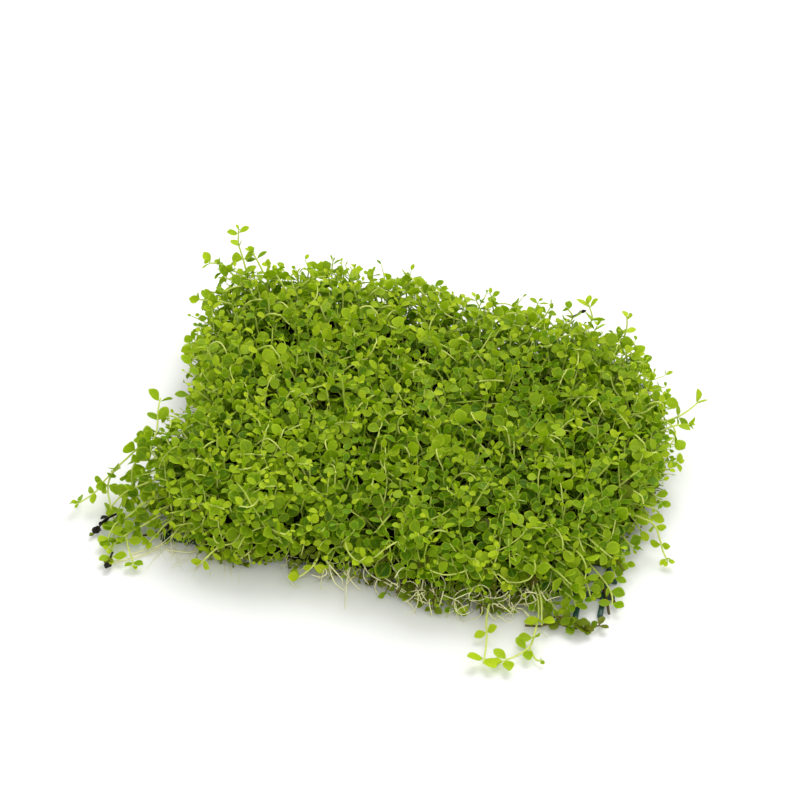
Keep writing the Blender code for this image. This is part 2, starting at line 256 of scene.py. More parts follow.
def leaf_finish():
    """Thin leaves, yellow-green when young, with a paler midrib and a painted rim light along their
    edges, lit through by the sky.
    """
    material, g = new_finish("leaf")
    age = g.attribute("age")
    tone = g.attribute("tone")
    wilt = g.attribute("wilt")
    blade = g.attribute("blade", "Vector")
    across = abs(g.node("ShaderNodeSeparateXYZ", None, {0: blade}, out=0))
    length = g.node("ShaderNodeSeparateXYZ", None, {0: blade}, out=1)
    patch = g.mottle(260.0)
    fresh = g.blend(age, paint("d8e82c"), paint("7cac08"))
    deep = g.blend(age, paint("74a208"), paint("285600"))
    green = g.blend(tone + patch * 0.5 - 0.25, deep, fresh)
    rib = 1 - g.step(across, 0.03, 0.14)
    veins = g.node("ShaderNodeMath", {"operation": "SINE"}, {0: (length - across * 0.35) * 34.0})
    green = g.blend(rib * 0.36, green, paint("c4dc40"))
    # Painted rim light: the edges and ends of each leaf are blended towards pale yellow-green, standing
    # in for light shining through the leaf margins.
    ends = abs(length * 2 - 1.05)
    rim = g.step(across * across + ends * ends, 0.55, 1.0)
    green = g.blend(rim * 0.60, green, paint("d4e636"))
    colour = g.blend(g.step(wilt, 0.02, 0.30), green, withered(g, wilt + patch * 0.3 - 0.15))
    bump = g.node("ShaderNodeBump", None, {"Strength": 0.25, "Distance": 0.00012,
                                           "Height": rib * 0.6 + veins * 0.2 + patch})
    body = g.node("ShaderNodeBsdfPrincipled", None,
                  {"Base Color": colour, "Roughness": 0.34 + patch * 0.15, "Normal": bump,
                   "Specular IOR Level": 0.15})
    through = g.node("ShaderNodeBsdfTranslucent", None, {"Color": paint("c4de0c")})
    close_finish(g, g.node("ShaderNodeMixShader", None,
                           {0: 0.46 - g.step(wilt, 0.1, 0.7) * 0.42, 1: body, 2: through}))
    return material


def stem_finish():
    """Pale watery stems that turn greener with age and brown where they have died."""
    material, g = new_finish("stem")
    age = g.attribute("age")
    wilt = g.attribute("wilt")
    patch = g.mottle(420.0)
    green = g.blend(age, paint("eef68a"), paint("a6c42e"))
    green = g.blend(patch * 0.3, green, paint("ccde50"))
    colour = g.blend(g.step(wilt, 0.02, 0.30), green, withered(g, wilt + patch * 0.2 - 0.1))
    bump = g.node("ShaderNodeBump", None, {"Strength": 0.2, "Distance": 0.0001, "Height": patch})
    body = g.node("ShaderNodeBsdfPrincipled", None,
                  {"Base Color": colour, "Roughness": 0.38 + patch * 0.1, "Normal": bump,
                   "Specular IOR Level": 0.2})
    through = g.node("ShaderNodeBsdfTranslucent", None, {"Color": paint("dcea62")})
    close_finish(g, g.node("ShaderNodeMixShader", None,
                           {0: 0.25 - g.step(wilt, 0.1, 0.7) * 0.23, 1: body, 2: through}))
    return material


def root_finish():
    """Cream fibres, browner where they are old."""
    material, g = new_finish("root")
    patch = g.mottle(150.0, 3.0)
    tone = g.attribute("tone")
    colour = g.blend(tone * 0.6 + patch * 0.5, paint("fdfad2"), paint("e6e39a"))
    colour = g.blend(g.attribute("wilt"), colour, paint("5c4526"))
    bump = g.node("ShaderNodeBump", None, {"Strength": 0.3, "Distance": 0.0001, "Height": patch})
    close_finish(g, g.node("ShaderNodeBsdfPrincipled", None,
                           {"Base Color": colour, "Roughness": 0.6 + patch * 0.2,
                            "Specular IOR Level": 0.2, "Normal": bump}))
    return material


def felt_and_painted_shade_finish():
    """The dark inside of the mat: old stems, roots and rot, coloured near-black as painted shade in the
    deep gaps between the leaves.
    """
    material, g = new_finish("felt")
    fine = g.mottle(900.0, 4.0)
    broad = g.mottle(140.0, 3.0)
    # Near-black stops: partly the dark of old stems and rot, partly painted shade for the gaps between
    # the leaves.
    colour = g.node("ShaderNodeValToRGB",
                    {"stops": ((0.30, paint("050602")), (0.50, paint("0d1504")),
                               (0.68, paint("232c0a")), (0.80, paint("4c4c1e")))},
                    {"Fac": fine * 0.7 + broad * 0.35})
    bump = g.node("ShaderNodeBump", None, {"Strength": 0.9, "Distance": 0.0006, "Height": fine})
    close_finish(g, g.node("ShaderNodeBsdfPrincipled", None,
                           {"Base Color": colour, "Roughness": 0.75 + fine * 0.2,
                            "Specular IOR Level": 0.1, "Normal": bump}))
    return material


def plastic_finish():
    """Dark blue-green moulded plastic with a faint scuffed grain."""
    material, g = new_finish("lattice_plastic")
    fine = g.mottle(1800.0, 3.0)
    broad = g.mottle(90.0, 2.0)
    colour = g.blend(broad, paint("0f3529"), paint("1f4d3e"))
    bump = g.node("ShaderNodeBump", None, {"Strength": 0.2, "Distance": 0.0001, "Height": fine})
    close_finish(g, g.node("ShaderNodeBsdfPrincipled", None,
                           {"Base Color": colour, "Roughness": 0.32 + fine * 0.2,
                            "Normal": bump}))
    return material


def floor_finish():
    """Plain white, hardly mottled, without a shine."""
    material, g = new_finish("floor_white")
    grain = g.mottle(8.0)
    colour = g.blend(grain, paint("f6f6f4"), paint("fafaf9"))
    close_finish(g, g.node("ShaderNodeBsdfPrincipled", None,
                           {"Base Color": colour, "Roughness": 0.9}))
    return material


# ---------------------------------------------------------------- leaf shapes

LEAF_ROWS = 8
PETIOLE = 0.10           # the part of the length that is stalk
LAST_ROW = 0.965         # the last row of points before the tip
STALK_WIDTH = 0.10
LEAF_THICKNESS = 0.03
# Each leaf's width against its length, then how it folds along its midrib, cups across, curls
# down towards its tip and twists. The first ones are narrow and are worn by young pairs.
LEAF_BENDS = ((0.58, 0.22, 0.3, 0.05, 0.0), (0.66, 0.10, 0.8, 0.14, 0.1),
              (0.62, 0.30, 0.0, -0.12, -0.2), (0.80, 0.10, 0.3, 0.12, 0.0),
              (0.90, 0.05, 0.9, 0.24, 0.1), (0.84, -0.10, -0.5, 0.40, -0.2),
              (0.78, 0.34, 0.0, 0.16, 0.15), (0.92, 0.06, 0.5, -0.16, 0.4),
              (0.74, 0.16, -0.3, 0.28, -0.5))
YOUNG_BENDS = 3


def blade_width(along):
    """Half the width of a rounded leaf on a short stalk, against its widest place."""
    if along <= PETIOLE:
        return STALK_WIDTH
    t = (along - PETIOLE) / (1 - PETIOLE)
    return max(STALK_WIDTH, math.sin(math.pi * t ** 1.12) ** 0.62)


def leaf_shape(columns, width, fold, cup, curl, twist):
    """A thin closed leaf one unit long along +Y that faces +Z. Its rim has one row of points."""
    bm = bmesh.new()
    blade = bm.verts.layers.float_vector.new("blade")

    def point(u, along, side):
        """A point of the leaf's upper or lower face, or of its rim where side is 0."""
        x = u * blade_width(along) * width / 2
        z = fold * abs(x) + cup * x * x - curl * (along - 0.3) ** 2 + twist * x * along
        vert = bm.verts.new((x, along, z + side * LEAF_THICKNESS / 2))
        vert[blade] = (u, along, 0.0)
        return vert

    rows = [[], []]
    base = point(0.0, 0.0, 0.0)
    tip = point(0.0, 1.0, 0.0)
    for row in range(LEAF_ROWS - 1):
        along = PETIOLE + (LAST_ROW - PETIOLE) * row / (LEAF_ROWS - 2)
        upper = [point(2 * c / (columns - 1) - 1, along, c % (columns - 1) and 1)
                 for c in range(columns)]
        lower = [point(2 * c / (columns - 1) - 1, along, -1) if c % (columns - 1) else upper[c]
                 for c in range(columns)]
        rows[0].append(upper)
        rows[1].append(lower[::-1])
    for side in rows:
        side.insert(0, [base] * columns)
        side.append([tip] * columns)
        for a, b in zip(side, side[1:]):
            for c in range(columns - 1):
                bm.faces.new(list(dict.fromkeys((a[c], a[c + 1], b[c + 1], b[c]))))
    for face in bm.faces:
        face.smooth = True
    for edge in bm.edges:
        edge.smooth = any(abs(v[blade][0]) < 1 for v in edge.verts)
    bmesh.ops.recalc_face_normals(bm, faces=bm.faces)
    mesh = bpy.data.meshes.new("leaf_shape")
    bm.to_mesh(mesh)
    bm.free()
    return mesh


def leaf_shapes(columns):
    """A collection of bent leaves, out of sight, for the node tree to pick from."""
    collection = bpy.data.collections.new(f"leaf_shapes_{columns}")
    for i, bend in enumerate(LEAF_BENDS):
        collection.objects.link(bpy.data.objects.new(f"leaf_shape_{columns}_{i}",
                                                     leaf_shape(columns, *bend)))
    return collection


# ---------------------------------------------------------------- the growing tree

def growing_tree():
    """Sweeps the chains of points into stems and sets a leaf on every leaf place."""
    tree = bpy.data.node_groups.new("grow_shoots", "GeometryNodeTree")
    for name, kind in (("Geometry", "NodeSocketGeometry"), ("Leaf Shapes", "NodeSocketCollection"),
                       ("Stem Sides", "NodeSocketInt"), ("Leaf Finish", "NodeSocketMaterial"),
                       ("Stem Finish", "NodeSocketMaterial")):
        tree.interface.new_socket(name, in_out="INPUT", socket_type=kind)
    tree.interface.new_socket("Geometry", in_out="OUTPUT", socket_type="NodeSocketGeometry")
    g = Graph(tree)
    given = tree.nodes.new("NodeGroupInput")

    def entry(name):
        """One of the tree's own inputs."""
        return Wire(g, given.outputs[name])

    def named(name, kind="FLOAT"):
        """What each point of the plan carries under this name."""
        return g.node("GeometryNodeInputNamedAttribute", {"data_type": kind}, {"Name": name})

    split = g.node("GeometryNodeSeparateGeometry", {"domain": "POINT"},
                   {0: entry("Geometry"), 1: named("leafy", "BOOLEAN")})
    chains = Wire(g, split.socket.node.outputs[1])
    shapes = g.node("GeometryNodeCollectionInfo", None,
                    {0: entry("Leaf Shapes"), 1: True, 2: True})
    turn = g.node("FunctionNodeAxesToRotation", {"primary_axis": "Z", "secondary_axis": "Y"},
                  {0: named("facing", "FLOAT_VECTOR"), 1: named("heading", "FLOAT_VECTOR")})
    leaves = g.node("GeometryNodeInstanceOnPoints", None,
                    {"Points": split, "Instance": shapes, "Pick Instance": True,
                     "Instance Index": named("shape", "INT"), "Rotation": turn,
                     "Scale": named("length")})
    leaves = g.node("GeometryNodeRealizeInstances", None, {0: leaves})
    leaves = g.node("GeometryNodeSetMaterial", None, {0: leaves, 2: entry("Leaf Finish")})
    outline = g.node("GeometryNodeCurvePrimitiveCircle", None,
                     {"Resolution": entry("Stem Sides"), "Radius": 1.0})
    stems = g.node("GeometryNodeMeshToCurve", None, {0: chains})
    stems = g.node("GeometryNodeCurveToMesh", None,
                   {"Curve": stems, "Profile Curve": outline, "Scale": named("girth"),
                    "Fill Caps": True})
    stems = g.node("GeometryNodeSetShadeSmooth", None, {0: stems, 2: True})
    stems = g.node("GeometryNodeSetMaterial", None, {0: stems, 2: entry("Stem Finish")})
    joined = tree.nodes.new("GeometryNodeJoinGeometry")
    tree.links.new(stems.socket, joined.inputs[0])
    tree.links.new(leaves.socket, joined.inputs[0])
    result = tree.nodes.new("NodeGroupOutput")
    tree.links.new(joined.outputs[0], result.inputs[0])
    return tree


def plain_piece(name, plan):
    """A piece with what the plan's modifiers make of it as a plain mesh. The plan goes."""
    graph = bpy.context.evaluated_depsgraph_get()
    mesh = bpy.data.meshes.new_from_object(plan.evaluated_get(graph),
                                           preserve_all_data_layers=True, depsgraph=graph)
    bpy.data.objects.remove(plan)
    mesh.name = name
    piece = bpy.data.objects.new(name, mesh)
    bpy.context.scene.collection.objects.link(piece)
    return piece


def rest_on_floor(mesh):
    """Presses what would sink below the floor into a thin layer on top of it."""
    places = np.empty(len(mesh.vertices) * 3, dtype=np.float32)
    mesh.vertices.foreach_get("co", places)
    heights = places[2::3]
    low = heights < PRESSED
    heights[low] = PRESSED * np.exp(heights[low] / PRESSED - 1)
    mesh.vertices.foreach_set("co", places)


class Growth:
    """What grows in one piece: stems as chains of points, and leaves as places on them."""

    NUMBERS = ("girth", "length", "age", "tone", "wilt")

    def __init__(self):
        self.leaves = []
        self.points = []
        self.headings = []
        self.facings = []
        self.numbers = []
        self.shapes = []
        self.edges = []

    def add(self, place, heading, facing, numbers, shape):
        """One point of the plan. Points of stems have no leaf shape, which is -1."""
        self.points.append(tuple(place))
        self.headings.append(tuple(heading))
        self.facings.append(tuple(facing))
        self.numbers.append(numbers)
        self.shapes.append(shape)

    def stem(self, chain, girths, age, tone, wilt=0.0):
        """A stem or root through a chain of places."""
        first = len(self.points)
        for i, (place, girth) in enumerate(zip(chain, girths)):
            self.add(place, UP, UP, (girth, 1.0, age, tone, wilt), -1)
            if i:
                self.edges.append((first + i - 1, first + i))

    def place_leaves(self, crowd=None):
        """Youngest leaves first. Leaves that find no room among the crowd are left out."""
        for leaf in sorted(self.leaves, key=lambda leaf: leaf["rank"]):
            middle = leaf["place"] + leaf["heading"] * leaf["length"] * 0.55
            if crowd is None or crowd.admits(middle, LEAF_GAP):
                self.add(leaf["place"], leaf["heading"], leaf["facing"],
                         (1.0, leaf["length"], leaf["age"], leaf["tone"], leaf["wilt"]),
                         leaf["shape"])

    def as_object(self, name, tree, shapes, sides, leaf, stem):
        """One plain mesh of everything that grew."""
        mesh = bpy.data.meshes.new(name)
        mesh.from_pydata(self.points, self.edges, [])

        def store(label, kind, field, values):
            """Gives every point its value under this name."""
            layer = mesh.attributes.new(label, kind, "POINT")
            layer.data.foreach_set(field, np.asarray(values).ravel())

        store("heading", "FLOAT_VECTOR", "vector", np.array(self.headings, dtype=np.float32))
        store("facing", "FLOAT_VECTOR", "vector", np.array(self.facings, dtype=np.float32))
        table = np.array(self.numbers, dtype=np.float32)
        for column, label in enumerate(self.NUMBERS):
            store(label, "FLOAT", "value", np.ascontiguousarray(table[:, column]))
        shape = np.array(self.shapes, dtype=np.int32)
        store("shape", "INT", "value", np.maximum(shape, 0))
        store("leafy", "BOOLEAN", "value", shape >= 0)
        grown = bpy.data.objects.new(name + "_plan", mesh)
        bpy.context.scene.collection.objects.link(grown)
        modifier = grown.modifiers.new("grow", "NODES")
        modifier.node_group = tree
        values = {"Leaf Shapes": shapes, "Stem Sides": sides, "Leaf Finish": leaf,
                  "Stem Finish": stem}
        for socket in tree.interface.items_tree:
            if socket.in_out == "INPUT" and socket.name in values:
                modifier[socket.identifier] = values[socket.name]
        piece = plain_piece(name, grown)
        rest_on_floor(piece.data)
        return piece


# ---------------------------------------------------------------- the mat's skin

def tuft_tree():
    """All the CAD's tufts in one tree to cast rays at."""
    points = []
    faces = []
    for name in TUFTS:
        mesh = frame["nodes"][name].data
        first = len(points)
        points += [v.co.copy() for v in mesh.vertices]
        faces += [[first + i for i in face.vertices] for face in mesh.polygons]
    return BVHTree.FromPolygons(points, faces)


def direction_at(side):
    """The way out from the middle of the mat to one of its sides."""
    angle = 2 * math.pi * side / SKIN_SIDES
    return Vector((math.cos(angle), math.sin(angle), 0.0))


def side_and_neighbours(values, side):
    """A side's own value and those of the two sides next to it both ways."""
    return [values[(side + step) % SKIN_SIDES] for step in range(-2, 3)]


def measure_reach():
    """How far the skin reaches from the middle of the mat in every direction."""
    tree = tuft_tree()
    far = 0.3
    middle, spread, amount = NARROWED
    found = []
    for side in range(SKIN_SIDES):
        out = direction_at(side)
        missed = tree.ray_cast(out * far + UP * OUTLINE_HEIGHT, -out)[3]
        aside = abs(math.atan2(out.y, out.x) % math.tau - middle)
        narrowing = amount * min(1.0, 2 * max(0.0, 1 - aside / spread))
        found.append(far - missed - SKIN_INSET - narrowing)
    widest = [max(side_and_neighbours(found, side)) for side in range(SKIN_SIDES)]
    return [sum(side_and_neighbours(widest, side)) / 5 for side in range(SKIN_SIDES)]


def skin_mesh(reach):
    """The uneven surface that the shoot tips lie on, as points and faces."""
    points = []
    for size, height in SKIN_PROFILE:
        for i in range(SKIN_SIDES):
            place = direction_at(i) * reach[i] * size
            spot = Vector((place.x, place.y, height * MM))
            wave = noise.noise(spot * BROAD_WAVES)
            bump = noise.noise(spot * SMALL_WAVES + Vector((5, 0, 0)))
            place *= 1 + SIDE_UNEVEN * wave * (size > 0.8)
            lift = TOP_UNEVEN * (wave + 0.7 * bump) * (height > TOP_FROM)
            points.append(place + UP * (height * MM + lift))
    faces = []
    for ring in range(len(SKIN_PROFILE) - 1):
        for i in range(SKIN_SIDES):
            j = (i + 1) % SKIN_SIDES
            a, b = ring * SKIN_SIDES, (ring + 1) * SKIN_SIDES
            faces.append((a + i, a + j, b + j))
            faces.append((a + i, b + j, b + i))
    return points, faces


class Crowd:
    """Remembers places and turns away any that comes too close to one of them."""

    def __init__(self, cell):
        self.cell = cell
        self.cells = {}

    def admits(self, place, distance):
        """Whether no remembered place is closer than this. It is remembered if so."""
        home = tuple(math.floor(c / self.cell) for c in place)
        cells = math.ceil(distance / self.cell)
        for step in itertools.product(range(-cells, cells + 1), repeat=3):
            near = tuple(c + d for c, d in zip(home, step))
            if any((other - place).length < distance for other in self.cells.get(near, ())):
                return False
        self.cells.setdefault(home, []).append(place.copy())
        return True


def wobble(rng, amount):
    """A small random turn to add to a direction."""
    return Vector((rng.gauss(0, amount), rng.gauss(0, amount), rng.gauss(0, amount)))


def among_roots(place):
    """Whether a place is where the roots curl out of the front and the shoots are dying."""
    middle, half, height = ROOTY
    return place.z < height and place.y < 0 and abs(place.x - middle) < half


def scatter_tips(points, faces, rng):
    """Evenly spread places on the skin, each with the way that the skin faces there."""
    corners = np.array([[points[i] for i in face] for face in faces])
    cross = np.cross(corners[:, 1] - corners[:, 0], corners[:, 2] - corners[:, 0])
    areas = np.linalg.norm(cross, axis=1) / 2
    picker = np.random.default_rng(3)
    chosen = picker.choice(len(faces), TIP_TRIES, p=areas / areas.sum())
    crowd = Crowd(TIP_SPACING_TOP)
    tips = []
    for index in chosen:
        u, v = rng.random(), rng.random()
        if u + v > 1:
            u, v = 1 - u, 1 - v
        a, b, c = corners[index]
        place = Vector(a + (b - a) * u + (c - a) * v)
        facing = Vector(cross[index]).normalized()
        spacing = TIP_SPACING_LOW if place.z < LOW_SIDE else TIP_SPACING_TOP
        hollow = noise.noise(place / HOLLOW_SIZE) > HOLLOW_LEVEL and place.z > HOLLOW_LOWEST
        if hollow or among_roots(place) and rng.random() < ROOTY_BARE:
            continue
        if crowd.admits(place, spacing * rng.uniform(0.85, 1.15)):
            tips.append((place, facing))
    return tips


# ---------------------------------------------------------------- growing

def clear_of_floor(place, heading, facing, length):
    """Lifts and levels a leaf that grows close above the floor."""
    room = (place.z - LEAF_CLEARANCE) / length
    if room < 0.9:
        heading = Vector((heading.x, heading.y, max(heading.z, 0.42 - room))).normalized()
        facing = facing.lerp(UP, 1 - max(room, 0.0))
    return heading, (facing - heading * facing.dot(heading)).normalized()


def leaf_pair(growth, place, along, turn, raised, length, light, age, rng, tone, wilt=0.0,
              rank=0, tilt=0.45):
    """Two opposite leaves that lean towards the tip and turn their faces to the light."""
    side = along.orthogonal().normalized()
    other = along.cross(side)
    out = side * math.cos(turn) + other * math.sin(turn)
    for sign in (1, -1):
        size = length * rng.uniform(0.80, 1.18)
        heading = out * sign * math.cos(raised) + along * math.sin(raised)
        heading.z = max(heading.z, -0.25) * 0.8
        heading = (heading + wobble(rng, 0.16)).normalized()
        facing = along * 0.5 + light * 0.65 + wobble(rng, tilt)
        heading, facing = clear_of_floor(place, heading, facing, size)
        bends = (0, YOUNG_BENDS) if age < 0.3 else (YOUNG_BENDS - 1, len(LEAF_BENDS))
        growth.leaves.append(dict(place=place, heading=heading, facing=facing, length=size,
                                  age=age, tone=min(max(tone + rng.gauss(0, 0.18), 0), 1),
                                  wilt=wilt, shape=rng.randrange(*bends), rank=rank))


def kept_inside(place, reach):
    """The place, moved in where it is past the edge of the mat."""
    side = int(math.atan2(place.y, place.x) % math.tau / math.tau * SKIN_SIDES)
    kept = min(1.0, reach[side] * 0.95 / math.hypot(place.x, place.y))
    return Vector((place.x * kept, place.y * kept, place.z))


def tip_shoot(growth, tip, skin_facing, reach, rng):
    """A shoot that ends at a tip on the skin, grown backwards from there into the mat."""
    low = tip.z < LOW_SIDE
    along = skin_facing * 0.5 + UP * (0.1 if low else 0.55) + wobble(rng, 0.34)
    along = (along + skin_facing * max(0.0, 0.35 - along.dot(skin_facing))).normalized()
    light = (UP * 0.8 + skin_facing * 0.45).normalized()
    tall = not low and rng.random() < 0.12
    rise = rng.uniform(2.5, 7.5) if tall else abs(rng.gauss(0, 1.2))
    place = tip + (skin_facing * 0.6 + along * 0.4) * rise * MM
    vigour = rng.uniform(0.55, 0.95) if low else rng.uniform(0.80, 1.16)
    turn = rng.uniform(0, math.pi)
    tone = rng.uniform(-0.1, 1.1) + 0.5 * noise.noise(tip * 24)
    # Painted backlight: tips towards the back and the left get a higher tone, so their leaves are
    # painted paler as if lit through from behind.
    tone += max(0.0, tip.y - PAINTED_BACKLIGHT_FROM) * 13 + max(0.0, -tip.x - 1.5 * PAINTED_BACKLIGHT_FROM) * 9
    wilt = rng.uniform(0.06, 0.48) if low and rng.random() < 0.75 else 0.0
    if among_roots(tip):
        wilt = rng.uniform(0.15, 0.62)
        vigour *= 0.85
    chain = [place]
    for rank, (gap, length, raised, age) in enumerate(TIP_PAIRS):
        sick = wilt if wilt else rng.uniform(0.1, 0.5) * (rank > 2 and rng.random() < 0.04)
        # The tone falls by 0.1 at each pair down the shoot: partly older leaves, partly painted shade
        # deeper inside the mat.
        leaf_pair(growth, place, along, turn, math.radians(raised), length * vigour * MM,
                  light, age, rng, tone - 0.1 * rank, sick, rank)
        place = place - along * gap * vigour * rng.uniform(0.8, 1.25) * MM
        outward = Vector((place.x, place.y, 0.0)).normalized()
        along = (along + UP * 0.10 + outward * 0.08 + wobble(rng, 0.16)).normalized()
        turn += math.pi / 2 + rng.uniform(-0.35, 0.35)
        place = kept_inside(place, reach)
        place.z = max(place.z, LOWEST_STEM)
        chain.append(place)
        grown = (tip - place).length
        buried = grown > LONGEST_LOW if low else place.z < FELT_TOP
        if buried or grown > LONGEST:
            break
    chain.append(Vector((place.x * 0.92, place.y * 0.92, min(place.z, FELT_TOP))))
    girths = [STEM_GIRTH * min(1.0, 0.5 + 0.2 * i) * rng.uniform(0.9, 1.15)
              for i in range(len(chain))]
    growth.stem(chain, girths, rng.uniform(0.1, 0.9), rng.random(), wilt)


def creeper(growth, skin, start, rng):
    """A pale stem that comes up, bends over the leaves, and ends in a tip or dives again."""
    facing = skin.find_nearest(start)[1]
    heading = wobble(rng, 1.0)
    heading = (heading - facing * heading.dot(facing)).normalized()
    count = rng.randrange(8, 18)
    crest = rng.uniform(0.5, 3.5)
    arc = rng.choice((0.5, 0.55, 0.85))
    bend = rng.choice((-1, 1)) * (rng.uniform(0.16, 0.30) if rng.random() < 0.3 else
                                  rng.uniform(0.0, 0.09))
    turn = rng.uniform(0, math.pi)
    tone = rng.uniform(0.4, 1.0)
    place = start.copy()
    chain = []
    for i in range(count):
        hit, facing, _, _ = skin.find_nearest(place)
        if hit.z < LOW_SIDE:
            return
        lift = (CREEPER_DEPTH + crest) * math.sin(i / count * math.pi * arc) - CREEPER_DEPTH
        chain.append(hit + facing * lift * MM)
        heading = heading + facing.cross(heading) * bend + wobble(rng, 0.05)
        heading = (heading - facing * heading.dot(facing)).normalized()
        place = hit + heading * CREEPER_STEP
    light = (UP * 0.8 + facing * 0.5).normalized()
    for k in range(rng.randrange(4, 7), count - 3, rng.randrange(5, 8)):
        along = (chain[k + 1] - chain[k - 1]).normalized()
        leaf_pair(growth, chain[k], along, turn, 0.25, rng.uniform(3.6, 5.6) * MM, light,
                  rng.uniform(0.1, 0.7), rng, tone)
        turn += math.pi / 2
    along = (chain[-1] - chain[-3]).normalized()
    place = chain[-1]
    for gap, length, raised, age in TIP_PAIRS[:3]:
        leaf_pair(growth, place, along, turn, math.radians(raised), length * MM, light, age, rng,
                  tone)
        place = place - along * gap * MM
        turn += math.pi / 2
    thick = STEM_GIRTH * rng.uniform(0.95, 1.25)
    girths = [thick * (1.0 - 0.3 * i / count) for i in range(count)]
    growth.stem(chain, girths, rng.uniform(0.0, 0.4), rng.random())


def spline_point(a, b, c, d, t):
    """A point between b and c on the smooth curve through a, b, c and d."""
    return 0.5 * ((2 * b) + (c - a) * t + (2 * a - 5 * b + 4 * c - d) * t * t
                  + (3 * b - a - 3 * c + d) * t * t * t)


def smooth_route(points, steps=8):
    """A dense chain on a smooth curve through points given in millimetres."""
    knots = [Vector(p) * MM for p in points]
    knots = [2 * knots[0] - knots[1]] + knots + [2 * knots[-1] - knots[-2]]
    chain = [spline_point(*knots[k:k + 4], s / steps)
             for k in range(len(knots) - 3) for s in range(steps)]
    return chain + [knots[-2]]


def runner(growth, branch, rng, wilt=0.0):
    """A stray shoot along a route, with evenly spaced leaf pairs.

    One whose youngest pair is smaller than its oldest still grows, and ends in a bud.
    """
    route, pairs, oldest, youngest, age = branch
    chain = smooth_route(route)
    light = (UP * 0.9 + Vector((0.1, -0.3, 0))).normalized()
    turn = rng.uniform(-0.4, 0.4)
    tone = rng.uniform(0.5, 1.1) - 0.4 * age
    for k in range(pairs):
        index = min(int((k + 0.9) / (pairs + 0.05) * (len(chain) - 1)), len(chain) - 2)
        along = (chain[index + 1] - chain[max(index - 1, 0)]).normalized()
        grown = k / max(pairs - 1, 1)
        length = (oldest + (youngest - oldest) * grown) * MM
        if wilt:
            length *= rng.uniform(0.5, 1.2)
        leaf_pair(growth, chain[index], along, turn, 0.3 + 0.2 * grown + wilt, length, light,
                  age * (1 - 0.8 * grown), rng, tone, wilt * rng.uniform(0.3, 1.6),
                  tilt=0.9 if wilt else 0.3)
        turn += math.pi / 2 + rng.gauss(0, 0.2 + wilt)
    if youngest < oldest and not wilt:
        leaf_pair(growth, chain[-1], (chain[-1] - chain[-2]).normalized(), turn, 0.9,
                  youngest * 0.55 * MM, light, 0.0, rng, 1.0)
    girths = [STEM_GIRTH * (1.25 - 0.4 * i / len(chain)) for i in range(len(chain))]
    growth.stem(chain, girths, 0.5 * age, rng.random(), min(wilt * 2, 1.0))


def dying_shoot(reach, rng):
    """A short olive shoot that sprawls low among the roots at the front, as a branch."""
    i = rng.randrange(*CURLY_SIDES)
    out = direction_at(i)
    edge = reach[i] / MM
    start = out * (edge - 10) + UP * rng.uniform(4.0, 9.0)
    end = out * (edge + rng.uniform(-3.0, 1.5)) + UP.cross(out) * rng.uniform(-4.0, 4.0)
    end += UP * rng.uniform(1.2, 4.0)
    middle = start.lerp(end, 0.5) + UP * rng.uniform(0.0, 2.0)
    return [start, middle, end], 4, 4.6, 3.8, 1.0


